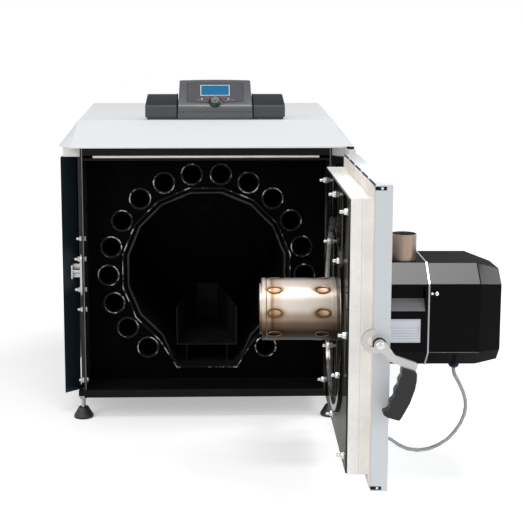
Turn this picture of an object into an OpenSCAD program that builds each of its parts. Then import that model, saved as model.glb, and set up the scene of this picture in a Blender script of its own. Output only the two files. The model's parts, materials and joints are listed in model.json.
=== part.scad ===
// Pellet boiler with an open burner door.
// X runs to the right, Y from the front frame to the rear, Z up from the floor.
// The origin is on the floor, centred on the boiler, in the plane of the front frame.

/* [Boiler] */
// Width of the top cover
cover_w = 800; // [770:1:960]
// Depth of the top cover, from the front frame to its rear edge
cover_d = 1030; // [1000:1:1300]
// Height of the top cover's rim above the floor
rim_z = 752; // [720:1:900]
// Rise of the top cover above its rim
cover_rise = 70; // [55:1:90]
// Length of the sloped front of the cover, seen from above
slope_run = 95; // [75:1:120]
// Side length of the chamfer on the cover's front corners
corner_cut = 60; // [45:1:80]
// Inset of the cover's top edge at its front corners
corner_inset = 50; // [40:1:60]
// Thickness of the folded outer panels
panel_t = 3; // [2:0.5:4]
// Height of the body's underside above the floor
foot_h = 63; // [50:1:80]

/* [Door recess] */
// Clear width of the door recess
recess_w = 664; // [650:1:680]
// Height of the recess floor above the floor
recess_floor_z = 85; // [80:1:95]
// Gap between the recess ceiling and the cover's rim
head_h = 33; // [30:1:60]
// Depth of the recess, from the front frame to the tube sheet
recess_d = 110; // [100:1:150]
// Thickness of the steel plates round the recess
frame_t = 6; // [4:1:8]

/* [Heat exchanger] */
// Thickness of the front and rear tube sheets
sheet_t = 8; // [6:1:12]
// Distance of the fire tubes' centres from the chamber's axis
tube_circle_r = 276; // [274:1:282]
// Number of fire tubes on each side
tubes_per_side = 9; // [5:1:9]
// Angle between neighbouring fire tubes
tube_pitch = 16.8; // [16:0.1:18]
// Outer diameter of a fire tube
tube_d = 57; // [48:1:58]
// Wall thickness of a fire tube
tube_wall = 2.9; // [2:0.1:5]
// Height of the chamber's axis above the floor
chamber_z = 397; // [394:1:402]
// Distance of the chamber shell's corners from its axis
chamber_r = 242; // [210:1:243]
// Plate thickness of the chamber shell
chamber_t = 6; // [5:1:10]
// Depth of the combustion chamber behind the tube sheet
chamber_d = 780; // [600:1:820]

/* [Door] */
// Height of the door box
door_h = 654; // [650:1:660]
// Distance of the door's free edge from the hinge axis
door_reach = 712; // [708:1:716]
// Thickness of the door box
door_t = 36; // [30:1:40]
// Thickness of one insulation board
board_t = 24; // [20:1:30]
// Thickness of the heat shield
shield_t = 4; // [3:1:6]
// Angle at which the door stands open
door_open = 88.5; // [60:0.5:110]

/* [Burner] */
// Outer diameter of the flame tube
flame_d = 146; // [120:1:160]
// Distance that the flame tube stands out of the heat shield
flame_l = 172; // [150:1:220]
// Width of the burner body
burner_w = 250; // [220:1:280]
// Height of the burner body
burner_h = 236; // [215:1:245]
// Length of the burner's fixed section
housing_l = 112; // [105:1:150]
// Length of the burner's removable hood
hood_l = 171; // [140:1:200]
// Outer diameter of the pellet inlet pipe
pellet_d = 60; // [50:1:70]
// Height of the pellet inlet pipe above the burner
pellet_h = 61; // [40:1:90]
// Diameter of the burner's cable
cable_d = 8.5; // [7:0.5:10]

/* [Hidden] */
$fn = 64;

// Boiler body
recess_x = recess_w / 2;
frame_x = recess_x + frame_t;
ceiling_z = rim_z - head_h;
header_h = 19;
header_d = 40;
seal_short = 28;
body_rear = cover_d - 80;
smoke_d = 46;
casing_rear = body_rear + sheet_t + smoke_d;
casing_x = cover_w / 2 - 5;
casing_z = foot_h + 2;
casing_top = rim_z - 26;
casing_front = 40;
return_depth = 35;
return_w = 39;
lip_gap = 4;
rail_w = 20;
rail_h = recess_floor_z - frame_t - foot_h;
rail_x = frame_x - 3;

// Feet
foot_y = [30, body_rear - 20];
foot_x = frame_x + 6;
foot_rod_r = 5.5;
foot_pad_r = 27;
foot_pad_h = 29;
foot_nut_h = 8;
thread_gap = 0.2;

// Fire tubes and chamber
tube_r = tube_d / 2;
tube_hole_r = tube_r + 0.3;
weld_r = tube_r + 3;
weld_h = 5;
tube_fan = (tubes_per_side * 2 - 1) * tube_pitch / 2;
chamber_sides = 16;
chamber_turn = 360 / chamber_sides;
chamber_corners = 14;
trough_x = 85;
trough_z = recess_floor_z + 33;
chamber_rim = 6;
chamber_gap = 0.5;
pan_z = trough_z + chamber_t + 52;
pan_front_x = 87;
pan_rear_x = 38;
pan_l = 330;
pan_y = recess_d + 20;
pan_h = 112;
pan_t = 4;
runner_x = 60;

// Rear connections
flue_r = 80;
flue_z = 560;
flue_wall = 3;
flue_out = 70;
socket_r = 22.4;
socket_wall = 7;
socket_x = 250;
socket_out = 28;
flow_z = 660;
return_z = 150;
rear_gap = 3;

// Corner reliefs in the door's folded free edge
relief_x = 23;
relief_y = 16;
relief_z = [3, 11];

// Door, drawn at right angles to the front frame
hinge_x = frame_x + 46;
hinge_y = -25;
seal_gap = 5;
box_inner_x = hinge_x + hinge_y + seal_gap;
box_outer_x = box_inner_x + door_t;
box_near = hinge_y - door_reach;
box_far = hinge_y - 44;
door_z = 415;
plug_half = recess_x - 22;
plug_near = hinge_y - hinge_x - plug_half;
plug_far = hinge_y - hinge_x + plug_half;
plug_bottom = recess_floor_z + 33;
plug_top = ceiling_z - 7;
plate_x = box_inner_x - 2 * board_t;
shield_x = plate_x - shield_t;
burner_y = hinge_y - hinge_x;
flame_z = 407;
flame_wall = 3;
flame_gap = 3;
flame_r = flame_d / 2;
nozzle_r = flame_r - 13;
collar_l = 10;
collar_out = 2;
dimple_r = 70;
dimple_d = 2.2;
dimple_x = [29, 140];
dimple_start = -5;
dimples = 8;
nozzle_out = 5;
nozzle_l = 60;
ring_r = chamber_r - chamber_t - 4;
ring_w = 18;
ring_t = 5;
stud_r = 5;
nut_r = 9;
nut_h = 8;
stud_out = 14;
washer_r = 12;
washer_t = 2;
stud_outer = [280, 265];
stud_inner = [128, 132];

// Hinges
lug_r = 13;
lug_h = 22;
pin_r = 7;
pin_gap = 0.05;
lug_gap = 1;
pin_head_r = 10;
pin_head_h = 5;
hinge_z = [125, 708];
bracket_t = 8;
bracket_y = [4, 40];

// Burner
burner_bottom = door_z - burner_h / 2;
bevel_top = [50, 41];
bevel_bottom = [40, 38];
groove_d = 18;
groove_z = [133, 190];
groove_slope = 25;
trim_t = 4;
trim_out = 1.5;
housing_end = box_outer_x + housing_l;
hood_start = housing_end + trim_t;
hood_end = hood_start + hood_l;
hood_run = 57;
hood_in = 43;
hood_top_in = [-30, 19];
hood_low_in = [-33, 3];
pellet_x = box_outer_x + 67;
pellet_y = burner_y - 35;
pellet_r = pellet_d / 2;
pellet_wall = 2;

// Latch
pivot_x = hinge_x - 9;
pivot_z = 414;
pivot_r = 8;
bolt_head_r = 10;
lever_t = 8;
lever_y = box_near - 29;
hub_r = 12;
latch_washer = [14.4, 2];
hub_out = 0.6;
hook_at = [-14, 8.5];
hook_r = 25;
hook_hole_r = 12;
keeper_z = 410;
keeper_pin_r = 6;
keeper_y = 42;
keeper_gap = 23;
keeper_h = 122;
cheek_t = 4;
plate_front = 4;
plate_drop = -6;
grip_t = 26;

// Controller
ctrl_x = 25;
ctrl_half = 103.5;
wing_half = 193;
ctrl_y = slope_run + 3;
wing_y = ctrl_y + 6;
cover_top = rim_z + cover_rise;
panel_tilt = 40;
panel_low = 36;
panel_start = 2;
panel_high = 106;
knob_r = 18.5;
knob_up = 49;
spindle_r = 5;
screen_w = 80;
screen_h = 38;
screen_up = 79;
screen_t = 2;

// Cable route, from the burner's gland round to the gland on the door
cable_route = [
    [584, -480, 285], [584, -480, 280], [585.2, -480, 272.5], [588.6, -480, 264],
    [593.6, -480, 255], [599, -480, 245], [604.4, -480, 234], [610, -480, 220],
    [613.8, -480, 205], [615, -480, 190], [612.5, -480, 172], [604.5, -480, 151],
    [592, -480, 131], [575, -480, 111.5], [554, -480, 97], [530, -480, 87.5], [505, -480, 84],
    [481, -480, 87.5], [460, -480, 97.5], [443, -480, 110], [427, -480, 118], [412, -480, 118]
];
gland_r = 12;

// ---------- helpers ----------

// Stands the door pieces, drawn at right angles, at the door's own angle.
module door_pose() {
    translate([hinge_x, hinge_y, 0])
        rotate([0, 0, door_open - 90])
            translate([-hinge_x, -hinge_y, 0])
                children();
}

// A block between two corners.
module block(low, high) {
    translate(low) cube(high - low);
}

// A round bar along X, Y or Z.
module bar_x(r, from, to) {
    translate([from, 0, 0]) rotate([0, 90, 0]) cylinder(r = r, h = to - from);
}

module bar_y(r, from, to) {
    translate([0, from, 0]) rotate([-90, 0, 0]) cylinder(r = r, h = to - from);
}

module bar_z(r, from, to) {
    translate([0, 0, from]) cylinder(r = r, h = to - from);
}

// An outline in X and Z, carried from one Y to another.
module slab_y(from, to) {
    translate([0, to, 0]) rotate([90, 0, 0]) linear_extrude(to - from) children();
}

// An outline in Y and Z, carried from one X to another.
module slab_x(from, to) {
    translate([from, 0, 0]) rotate([90, 0, 90]) linear_extrude(to - from) children();
}

module mirror_pair() {
    children();
    mirror([1, 0, 0]) children();
}

// ---------- front frame ----------

module frame_header() {
    color("#2b2a29") {
        block([-recess_x, 0, ceiling_z], [recess_x, recess_d, ceiling_z + frame_t]);
        block([-recess_x, 0, rim_z - header_h], [recess_x, header_d, rim_z]);
    }
}

module header_seal() {
    low = ceiling_z + frame_t;
    color("#e8dcc2")
        block([-recess_x + seal_short, 2, low], [recess_x - seal_short, header_d, rim_z - header_h]);
}

module frame_sill() {
    floor_low = recess_floor_z - frame_t;
    color("#1c1d20") {
        block([-frame_x, 0, floor_low], [frame_x, recess_d, recess_floor_z]);
        block([-frame_x, 0, foot_h], [frame_x, frame_t, floor_low]);
    }
}

// One side wall of the recess, with the flange that meets the side panel.
module jamb() {
    flange_y = casing_front + return_depth - 8;
    flange_end = casing_x - return_w - lip_gap;
    block([recess_x, 0, recess_floor_z], [frame_x, recess_d, rim_z]);
    block([frame_x, flange_y, recess_floor_z], [flange_end, flange_y + frame_t, casing_top]);
}

module left_jamb() {
    color("#1a1b1e") mirror([1, 0, 0]) jamb();
}

module right_jamb() {
    color("#1a1b1e") jamb();
}

// ---------- heat exchanger ----------

// Centre of each fire tube, in X and Z.
function tube_at(k) =
    let (a = -tube_fan + k * tube_pitch)
    [tube_circle_r * sin(a), chamber_z + tube_circle_r * cos(a)];

// The chamber's outline, drawn in by a wall thickness.
function chamber_outline(inset) = concat(
    [for (k = [0 : chamber_corners - 1])
        let (a = 90 + chamber_turn * (k - (chamber_corners - 1) / 2), r = chamber_r - inset)
        [r * cos(a), chamber_z + r * sin(a)]],
    [[-trough_x + inset, trough_z + inset], [trough_x - inset, trough_z + inset]]
);

module tube_ring(r, from, to) {
    for (k = [0 : tubes_per_side * 2 - 1])
        translate([tube_at(k)[0], 0, tube_at(k)[1]]) bar_y(r, from, to);
}

module sheet_blank(from) {
    block([-frame_x, from, recess_floor_z - frame_t],
          [frame_x, from + sheet_t, ceiling_z + frame_t]);
}

module tube_sheet() {
    color("#232427") difference() {
        sheet_blank(recess_d);
        tube_ring(tube_hole_r, recess_d - 1, recess_d + sheet_t + 1);
        slab_y(recess_d - 1, recess_d + sheet_t + 1) polygon(chamber_outline(-chamber_gap));
    }
}

module rear_tube_sheet() {
    color("#232427") difference() {
        sheet_blank(body_rear);
        tube_ring(tube_hole_r, body_rear - 1, body_rear + sheet_t + 1);
    }
}

module fire_tubes() {
    front = recess_d - weld_h;
    rear = body_rear + sheet_t + weld_h;
    color("#303136") difference() {
        union() {
            tube_ring(tube_r, front, rear);
            tube_ring(weld_r, front, recess_d);
            tube_ring(weld_r, body_rear + sheet_t, rear);
        }
        tube_ring(tube_r - tube_wall, front - 1, rear + 1);
    }
}

module chamber_shell() {
    rear = recess_d + sheet_t + chamber_d;
    color("#1b1c1f") difference() {
        slab_y(recess_d - chamber_rim, rear) polygon(chamber_outline(0));
        slab_y(recess_d - chamber_rim - 1, rear - chamber_t) polygon(chamber_outline(chamber_t));
    }
}

// Plan of the ash pan, drawn in by a wall thickness.
function pan_plan(inset) = [
    [-pan_front_x + inset, 0], [pan_front_x - inset, 0],
    [pan_rear_x - inset, pan_l - inset], [-pan_rear_x + inset, pan_l - inset]
];

module ash_pan() {
    runner_low = trough_z + chamber_t;
    color("#3a3b3f") translate([0, pan_y, 0]) {
        difference() {
            translate([0, 0, pan_z]) linear_extrude(pan_h) polygon(pan_plan(0));
            translate([0, -1, pan_z + pan_t]) linear_extrude(pan_h) polygon(pan_plan(pan_t));
        }
        mirror_pair() block([runner_x - pan_t, 20, runner_low], [runner_x, 150, pan_z]);
    }
}

module water_jacket() {
    low = recess_floor_z - frame_t;
    high = ceiling_z + frame_t;
    color("#26272a") difference() {
        block([-frame_x, recess_d + sheet_t, low], [frame_x, body_rear, high]);
        block([-recess_x, recess_d, low + frame_t], [recess_x, body_rear + 1, high - frame_t]);
    }
}

module smoke_box() {
    front = body_rear + sheet_t;
    wall = flue_wall + 1;
    color("#26272a") difference() {
        block([-frame_x, front, recess_floor_z], [frame_x, front + smoke_d, ceiling_z]);
        block([-frame_x + wall, front - 1, recess_floor_z + wall],
              [frame_x - wall, front + smoke_d - wall, ceiling_z - wall]);
        translate([0, 0, flue_z]) bar_y(flue_r - flue_wall, front, front + smoke_d + 1);
        rear_sockets() bar_y(socket_r + socket_wall + rear_gap, front, front + smoke_d + 1);
    }
}

// ---------- rear connections ----------

module rear_sockets() {
    translate([-socket_x, 0, flow_z]) children();
    translate([socket_x, 0, return_z]) children();
}

module flue_collar() {
    color("#3b3c40") translate([0, 0, flue_z]) difference() {
        bar_y(flue_r, casing_rear, casing_rear + flue_out);
        bar_y(flue_r - flue_wall, casing_rear - 1, casing_rear + flue_out + 1);
    }
}

module water_sockets() {
    front = body_rear + sheet_t;
    color("#8c8f94") rear_sockets() difference() {
        bar_y(socket_r + socket_wall, front, casing_rear + socket_out);
        bar_y(socket_r, front + 6, casing_rear + socket_out + 1);
    }
}

// ---------- outer casing ----------

// Plan of a folded side panel: the side, then the sloped return at the front.
side_plan = [
    [casing_x, casing_rear], [casing_x, casing_front],
    [casing_x - return_w, casing_front + return_depth],
    [casing_x - return_w, casing_front + return_depth + panel_t * 1.5],
    [casing_x - panel_t, casing_front + panel_t * 2.4], [casing_x - panel_t, casing_rear]
];

module side_panel() {
    translate([0, 0, casing_z]) linear_extrude(casing_top - casing_z) polygon(side_plan);
}

module left_side_panel() {
    color("#16222b") mirror([1, 0, 0]) side_panel();
}

module right_side_panel() {
    color("#16222b") side_panel();
}

module rear_panel() {
    side = casing_x - panel_t;
    color("#dfe2e4") difference() {
        block([-side, casing_rear, casing_z], [side, casing_rear + panel_t, casing_top]);
        translate([0, 0, flue_z])
            bar_y(flue_r + rear_gap, casing_rear - 1, casing_rear + panel_t + 1);
        rear_sockets()
            bar_y(socket_r + socket_wall + rear_gap, casing_rear - 1, casing_rear + panel_t + 1);
    }
}

module top_insulation() {
    side = casing_x - 6;
    inner = frame_x + 1;
    front = casing_front + 4;
    color("#e6ddc8") translate([0, 0, casing_top]) linear_extrude(rim_z - casing_top)
        polygon([
            [-side, front], [-inner, front], [-inner, recess_d], [inner, recess_d],
            [inner, front], [side, front], [side, casing_rear], [-side, casing_rear]
        ]);
}

module top_cover() {
    base_t = 5;
    half = cover_w / 2;
    front_x = half - corner_inset + 12;
    base_plan = [
        [-front_x, 0], [front_x, 0], [half, corner_cut],
        [half, cover_d], [-half, cover_d], [-half, corner_cut]
    ];
    top_plan = [
        [-half + corner_inset, slope_run], [half - corner_inset, slope_run],
        [half, cover_d], [-half, cover_d]
    ];
    color("#e9ebec") hull() {
        translate([0, 0, rim_z]) linear_extrude(base_t) polygon(base_plan);
        translate([0, 0, cover_top - 1]) linear_extrude(1) polygon(top_plan);
    }
}

module base_frame() {
    top = foot_h + rail_h;
    rear = body_rear + sheet_t;
    color("#17181a") difference() {
        union() {
            mirror_pair() block([rail_x, 14, foot_h], [rail_x + rail_w, rear, top]);
            block([-rail_x, recess_d, foot_h], [rail_x, rear, foot_h + panel_t]);
        }
        feet() bar_z(foot_rod_r + thread_gap, foot_h - 1, top + 1);
    }
}

// ---------- feet ----------

module feet() {
    mirror_pair()
        for (y = foot_y)
            translate([foot_x, y, 0]) children();
}

module foot_rods() {
    color("#b9bcc0") feet() {
        bar_z(foot_rod_r, foot_pad_h, foot_h + rail_h);
        translate([0, 0, foot_h - foot_nut_h]) cylinder(r = foot_rod_r * 1.8, h = foot_nut_h, $fn = 6);
    }
}

module foot_pads() {
    rim = 6;
    color("#1b1b1d") feet() {
        cylinder(r = foot_pad_r, h = rim);
        translate([0, 0, rim])
            rotate_extrude()
                polygon([[0, 0], [foot_pad_r, 0], [foot_pad_r / 2, foot_pad_h - rim], [0, foot_pad_h - rim]]);
    }
}

// ---------- latch keeper and hinges ----------

module latch_keeper() {
    plate_x1 = -frame_x;
    plate_x0 = plate_x1 - frame_t;
    cheek_x1 = plate_x0 - keeper_gap;
    cheek_x0 = cheek_x1 - cheek_t;
    cheek_h = 38;
    back = keeper_y + 12;
    low = keeper_z - cheek_h / 2;
    high = keeper_z + cheek_h / 2;
    middle = (plate_front + back + cheek_t) / 2;
    half = (back + cheek_t - plate_front) / 2;
    color("#b7babd") {
        slab_x(plate_x0, plate_x1) for (end = [-1, 1])
            translate([middle, keeper_z + plate_drop + end * (keeper_h / 2 - half)]) circle(r = half);
        block([plate_x0, plate_front, keeper_z + plate_drop - keeper_h / 2 + half],
              [plate_x1, back + cheek_t, keeper_z + plate_drop + keeper_h / 2 - half]);
        block([cheek_x0, keeper_y - 12, low], [cheek_x1, back + cheek_t, high]);
        block([cheek_x1, back, low], [plate_x0, back + cheek_t, high]);
        translate([0, keeper_y, keeper_z]) bar_x(keeper_pin_r, cheek_x1 - 1, plate_x0 + 1);
    }
}

// The fixed lug of one hinge, bolted to the frame, with the pin in it.
module hinge_bracket(z) {
    color("#26282b") {
        block([frame_x, bracket_y[0], z - 30], [frame_x + bracket_t, bracket_y[1], z + lug_h]);
        translate([0, 0, z]) linear_extrude(lug_h - lug_gap)
            polygon([
                [frame_x + bracket_t - 1, 6], [frame_x + bracket_t - 1, 34],
                [hinge_x + lug_r * 0.6, hinge_y + lug_r * 0.8],
                [hinge_x - lug_r * 0.6, hinge_y - lug_r * 0.8]
            ]);
        translate([hinge_x, hinge_y, z]) {
            cylinder(r = lug_r, h = lug_h - lug_gap);
            cylinder(r = pin_r, h = lug_h * 2 + 2);
        }
    }
    color("#b9bcc0") translate([hinge_x, hinge_y, z + lug_h * 2 + 1])
        cylinder(r = pin_head_r, h = pin_head_h);
}

module hinge_brackets() {
    for (z = hinge_z) hinge_bracket(z);
}

// ---------- controller ----------

// Distance of the sloped panel behind the controller's front, at a height above the cover.
function panel_at(up) = panel_start + (up - panel_low) * tan(panel_tilt);

// Side profile of the middle part: plinth, grooved chin, sloped panel and back.
housing_profile = [
    [3, 0], [3, 4], [0, 6], [0, 19], [1.5, 20], [1.5, 21.5], [0, 22.5], [1.2, 30],
    [3.4, 35.5], [panel_at(42), 42], [panel_at(panel_high + 4), panel_high + 4],
    [84, panel_high + 4], [118, 60], [124, 8], [124, 0]
];

// Front outline of the middle part: sides that lean in, and an arched top.
housing_face = [
    [-ctrl_half, 0], [ctrl_half, 0], [ctrl_half - 5, panel_high - 2], [ctrl_half - 7, panel_high],
    for (k = [1 : 7]) [(ctrl_half - 7) * (1 - k / 4), panel_high + 1.6 * sin(k * 22.5)],
    [-ctrl_half + 7, panel_high], [-ctrl_half + 5, panel_high - 2]
];

// Side profile and front outline of the two lower side parts.
wing_profile = [
    [5, 0], [5, 6], [0, 7], [0, 33], [1.5, 37.5], [5, 41],
    [50, 68], [76, 68], [108, 36], [112, 0]
];
wing_face = [
    [-wing_half + 5, 0], [wing_half - 5, 0], [wing_half - 5, 6], [wing_half, 7], [wing_half, 38],
    [wing_half - 5, 70], [-wing_half + 5, 70], [-wing_half, 38], [-wing_half, 7], [-wing_half + 5, 6]
];

// A controller body: its side profile, kept inside its front outline.
module controller_body(front, profile, face) {
    reach = wing_half + 1;
    translate([ctrl_x, front, cover_top]) intersection() {
        slab_x(-reach, reach) polygon(profile);
        slab_y(-1, 130) polygon(face);
    }
}

module controller_housing() {
    color("#34363a") difference() {
        controller_body(ctrl_y, housing_profile, housing_face);
        on_panel(screen_up)
            block([-screen_w / 2, -1, -screen_h / 2], [screen_w / 2, screen_t, screen_h / 2]);
        on_panel(knob_up) bar_y(spindle_r + pin_gap, -9, 8);
    }
}

module controller_wings() {
    color("#2a2c30") difference() {
        controller_body(wing_y, wing_profile, wing_face);
        block([ctrl_x - ctrl_half, 0, cover_top - 1], [ctrl_x + ctrl_half, cover_d, cover_top + 100]);
    }
}

// Places a piece on the sloped panel, at a height above the cover; Y runs into the panel.
module on_panel(up) {
    translate([ctrl_x, ctrl_y + panel_at(up), cover_top + up])
        rotate([-panel_tilt, 0, 0]) children();
}

module controller_screen() {
    color("#3d8fd6") on_panel(screen_up)
        block([-screen_w / 2, 0, -screen_h / 2], [screen_w / 2, screen_t, screen_h / 2]);
}

// The knob: a skirt, a tapered body and a dished cap, on a spindle.
module control_knob() {
    color("#1a1a1c") on_panel(knob_up) {
        rotate([90, 0, 0]) rotate_extrude()
            polygon([
                [0, 1], [knob_r, 1], [knob_r, 4], [knob_r - 2, 5.5], [knob_r - 4, 12],
                [knob_r - 6, 13.5], [knob_r - 8, 12.5], [0, 11.5]
            ]);
        bar_y(spindle_r, -2, 7);
    }
}

// ---------- door ----------

module door_box() {
    low = door_z - door_h / 2;
    color("#d7dadc") door_pose() {
        difference() {
            block([box_inner_x, box_near, low], [box_outer_x, box_far, low + door_h]);
            for (z = [low + relief_z[0], low + door_h - relief_z[1]])
                block([box_inner_x - 1, box_near - 1, z],
                      [box_inner_x + relief_x, box_near + relief_y, z + relief_z[1] - relief_z[0]]);
        }
        for (z = hinge_z) translate([0, 0, z + lug_h]) difference() {
            union() {
                translate([hinge_x, hinge_y, 0]) cylinder(r = lug_r, h = lug_h);
                block([hinge_x - 10, box_far - 1, 0], [hinge_x + 10, hinge_y, lug_h]);
            }
            translate([hinge_x, hinge_y, -1]) cylinder(r = pin_r + pin_gap, h = lug_h + 2);
        }
    }
}

// A board of the door plug, with the hole that the flame tube passes through.
module plug_board(from, to, inset) {
    door_pose() difference() {
        block([from, plug_near + inset, plug_bottom + inset], [to, plug_far - inset, plug_top - inset]);
        translate([0, burner_y, flame_z]) bar_x(flame_r + flame_gap, from - 1, to + 1);
    }
}

module insulation_back() {
    color("#e7e0d4") plug_board(plate_x + board_t, box_inner_x, 0);
}

module insulation_front() {
    color("#efe9df") plug_board(plate_x, plate_x + board_t, 0);
}

module heat_shield() {
    color("#1d1d1f") plug_board(shield_x, plate_x, 2);
}

module shield_ring() {
    color("#55565a") door_pose() translate([0, burner_y, chamber_z]) difference() {
        bar_x(ring_r, shield_x - ring_t, shield_x);
        bar_x(ring_r - ring_w, shield_x - ring_t - 1, shield_x + 1);
    }
}

module stud() {
    bar_x(washer_r, shield_x - washer_t, shield_x);
    translate([shield_x - washer_t - nut_h, 0, 0])
        rotate([0, 90, 0]) cylinder(r = nut_r, h = nut_h, $fn = 6);
    bar_x(stud_r, shield_x - washer_t - nut_h - stud_out + 6, shield_x - washer_t - nut_h + 1);
}

// Studs that clamp the heat shield: one round the edge, one nearer the flame tube.
module shield_studs() {
    color("#b5b8bc") door_pose() {
        for (a = [-1 : 1], b = [-1 : 1])
            if (a != 0 || b != 0)
                translate([0, burner_y + a * stud_outer[0], door_z + b * stud_outer[1]]) stud();
        for (a = [-1, 1], b = [-1, 1])
            translate([0, burner_y + a * stud_inner[0], door_z + b * stud_inner[1]]) stud();
    }
}

// The flame tube: a collar at the shield, and two rings of oval dimples pressed into its wall.
module flame_tube() {
    mouth = shield_x - flame_l;
    color("#b8a48c") door_pose() translate([0, burner_y, flame_z]) difference() {
        union() {
            bar_x(flame_r, mouth, box_inner_x);
            bar_x(flame_r + collar_out, shield_x - collar_l, shield_x);
        }
        bar_x(flame_r - flame_wall, mouth - 1, box_inner_x + 1);
        for (x = dimple_x, k = [0 : dimples - 1])
            translate([mouth + x, 0, 0])
                rotate([dimple_start + k * 360 / dimples, 0, 0])
                    translate([0, flame_r - dimple_d + dimple_r, 0])
                        sphere(r = dimple_r);
    }
}

module flame_nozzle() {
    start = shield_x - flame_l - nozzle_out;
    color("#9a8a76") door_pose() translate([0, burner_y, flame_z]) difference() {
        union() {
            bar_x(nozzle_r, start, start + nozzle_l);
            bar_x(flame_r - flame_wall, start + nozzle_l - flame_wall, start + nozzle_l);
            bar_x(flame_r - flame_wall, start + nozzle_out + 4, start + nozzle_out + 8);
        }
        bar_x(nozzle_r - flame_wall, start - 1, start + nozzle_l + 1);
    }
}

// ---------- burner ----------

// Section of the burner, in Y and Z, grown outwards by a margin.
function burner_section(grow) =
    let (w = burner_w / 2 + grow, low = burner_bottom - grow, high = burner_bottom + burner_h + grow)
    [
        [-w, low + bevel_bottom[1]], [-w + bevel_bottom[0], low],
        [w - bevel_bottom[0], low], [w, low + bevel_bottom[1]],
        [w, high - bevel_top[1]], [w - bevel_top[0], high],
        [-w + bevel_top[0], high], [-w, high - bevel_top[1]]
    ];

module burner_housing() {
    groove = [
        [burner_w / 2 + 1, burner_bottom + groove_z[1]],
        [burner_w / 2 - groove_d, burner_bottom + groove_z[1]],
        [burner_w / 2 - groove_d, burner_bottom + groove_z[0] + groove_slope],
        [burner_w / 2 + 1, burner_bottom + groove_z[0]]
    ];
    color("#1b1b1c") door_pose() translate([0, burner_y, 0]) difference() {
        slab_x(box_outer_x, housing_end) polygon(burner_section(0));
        for (side = [0, 1])
            mirror([0, side, 0])
                slab_x(box_outer_x - 1, housing_end - 6) polygon(groove);
        translate([pellet_x, pellet_y - burner_y, burner_bottom + burner_h - 60])
            cylinder(r = pellet_r - pellet_wall, h = 61);
    }
}

module hood_trim() {
    color("#c9ccd0") door_pose() translate([0, burner_y, 0])
        slab_x(housing_end, hood_start) polygon(burner_section(trim_out));
}

// The hood's end face, in Y and Z: the burner's section, drawn in at its sides, top and bottom.
function hood_face() =
    let (w = burner_w / 2, side = w - hood_in, low = burner_bottom, high = burner_bottom + burner_h,
         top = w - bevel_top[0] + hood_top_in[0], foot = w - bevel_bottom[0] + hood_low_in[0])
    [
        [-side, low + bevel_bottom[1] - hood_low_in[1]], [-foot, low + hood_low_in[1]],
        [foot, low + hood_low_in[1]], [side, low + bevel_bottom[1] - hood_low_in[1]],
        [side, high - bevel_top[1] - hood_top_in[1] / 2], [top, high - hood_top_in[1]],
        [-top, high - hood_top_in[1]], [-side, high - bevel_top[1] - hood_top_in[1] / 2]
    ];

// The hood: full section at the trim, chamfered all round at its far end.
module burner_hood() {
    face_t = 0.5;
    color("#171718") door_pose() translate([0, burner_y, 0]) hull() {
        slab_x(hood_start, hood_end - hood_run) polygon(burner_section(0));
        slab_x(hood_end - face_t, hood_end) polygon(hood_face());
    }
}

module pellet_pipe() {
    top = burner_bottom + burner_h;
    color("#8a7868") door_pose() translate([pellet_x, pellet_y, top]) difference() {
        cylinder(r = pellet_r, h = pellet_h);
        translate([0, 0, -1]) cylinder(r = pellet_r - pellet_wall, h = pellet_h + 2);
    }
}

// ---------- cable ----------

module cable_glands() {
    first = cable_route[0];
    last = cable_route[len(cable_route) - 1];
    color("#15203a") door_pose() {
        translate([first[0], first[1], first[2]]) bar_z(gland_r, 0, burner_bottom - first[2]);
        translate([0, last[1], last[2]]) bar_x(gland_r, box_outer_x, last[0]);
    }
}

// Direction of the route at point k.
function route_dir(p, k) =
    let (a = p[max(k - 1, 0)], b = p[min(k + 1, len(p) - 1)])
    (b - a) / norm(b - a);

// Ring of the cable at point k; the route lies in a plane of constant Y.
function route_ring(p, k, r, sides) =
    let (d = route_dir(p, k), across = [0, 1, 0], up = cross(d, across))
    [for (i = [0 : sides - 1]) p[k] + r * (cos(360 * i / sides) * across + sin(360 * i / sides) * up)];

module swept_tube(p, r, sides) {
    n = len(p);
    points = [for (k = [0 : n - 1]) each route_ring(p, k, r, sides)];
    ends = [
        [for (i = [0 : sides - 1]) i],
        [for (i = [sides - 1 : -1 : 0]) (n - 1) * sides + i]
    ];
    walls = [for (k = [0 : n - 2], i = [0 : sides - 1])
        let (j = (i + 1) % sides)
        [k * sides + i, (k + 1) * sides + i, (k + 1) * sides + j, k * sides + j]];
    polyhedron(points, concat(ends, walls));
}

module burner_cable() {
    color("#6f747a") door_pose() swept_tube(cable_route, cable_d / 2, 8);
}

// ---------- latch lever ----------

module latch_pivot() {
    back = lever_y + lever_t;
    color("#c2c5c8") door_pose() translate([pivot_x, 0, pivot_z]) {
        bar_y(pivot_r + 2, back + 0.5, box_near);
        bar_y(latch_washer[0], back + 0.5, back + 0.5 + latch_washer[1]);
        bar_y(pivot_r, lever_y - hub_out - 1, back + 1);
        bar_y(bolt_head_r, lever_y - 8, lever_y - hub_out - 0.5);
    }
}

// Outline of the lever about its pivot: the hook, open towards the keeper.
module hook_outline() {
    difference() {
        translate(hook_at) circle(r = hook_r);
        translate(hook_at) circle(r = hook_hole_r);
        polygon([hook_at, [-9, 40], [30, 40], [30, 0]]);
    }
}

// Outline of the arm: a flat bar, cranked where it clears the door, that ends over the grip.
arm_outline = [
    [-10, -8], [6, 10], [14, 3], [31.5, -21.7], [75.6, -37.1], [78.4, -40.6],
    [74.2, -55], [44.8, -45.5], [40, -41.5], [22.4, -35], [5.6, -17.5], [-1.4, -16.1], [-12, -17]
];

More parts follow.
